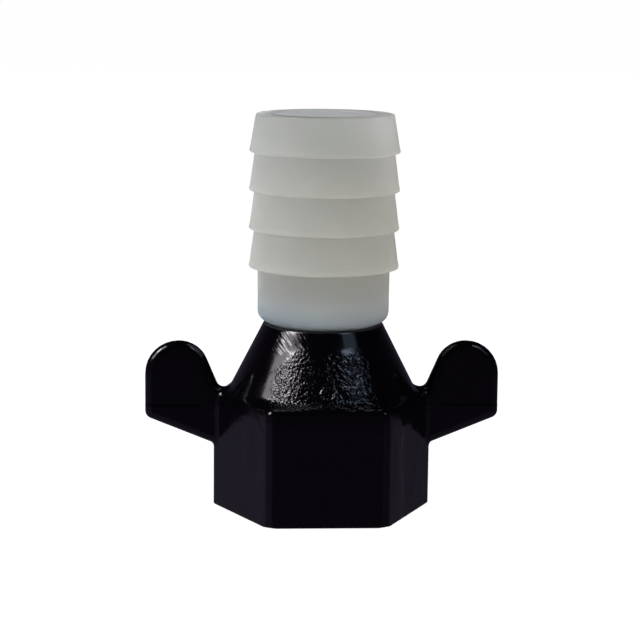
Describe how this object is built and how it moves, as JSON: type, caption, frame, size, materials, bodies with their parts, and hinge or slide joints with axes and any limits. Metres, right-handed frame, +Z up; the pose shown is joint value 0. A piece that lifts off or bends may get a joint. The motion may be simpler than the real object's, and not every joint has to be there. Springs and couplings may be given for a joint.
{
  "type": "wing nut hose fitting",
  "caption": "Swivel hose fitting: a hexagon wing nut with an internal pipe thread, snapped onto a straight barbed tailpiece for hose, with a flat seal inside.",
  "frame": {"origin": "centre of the nut's bottom face, on the thread's axis", "axes": "+Z up the hose barb, along the thread's axis; +X and -X along the two wings; +Y across the wings, through a flat of the hexagon"},
  "size_m": [0.05, 0.0282, 0.0555],
  "materials": {
    "black_nylon": "glossy moulded black nylon, faint orange peel on the cone",
    "natural_nylon": "natural translucent nylon, satin",
    "black_rubber": "matte moulded rubber"
  },
  "bodies": {
    "wing_nut": {"wing_nut": "black_nylon"},
    "seal_washer": {"seal_washer": "black_rubber"},
    "hose_barb": {"hose_barb": "natural_nylon"}
  },
  "joints": [
    {"name": "axial_float", "type": "slide", "parent": "wing_nut", "child": "seal_washer", "axis": [0, 0, 1], "range_m": [0, 0.0015]},
    {"name": "swivel", "type": "hinge", "parent": "seal_washer", "child": "hose_barb", "pos_m": [0, 0, 0.0264], "axis": [0, 0, 1], "continuous": true}
  ]
}
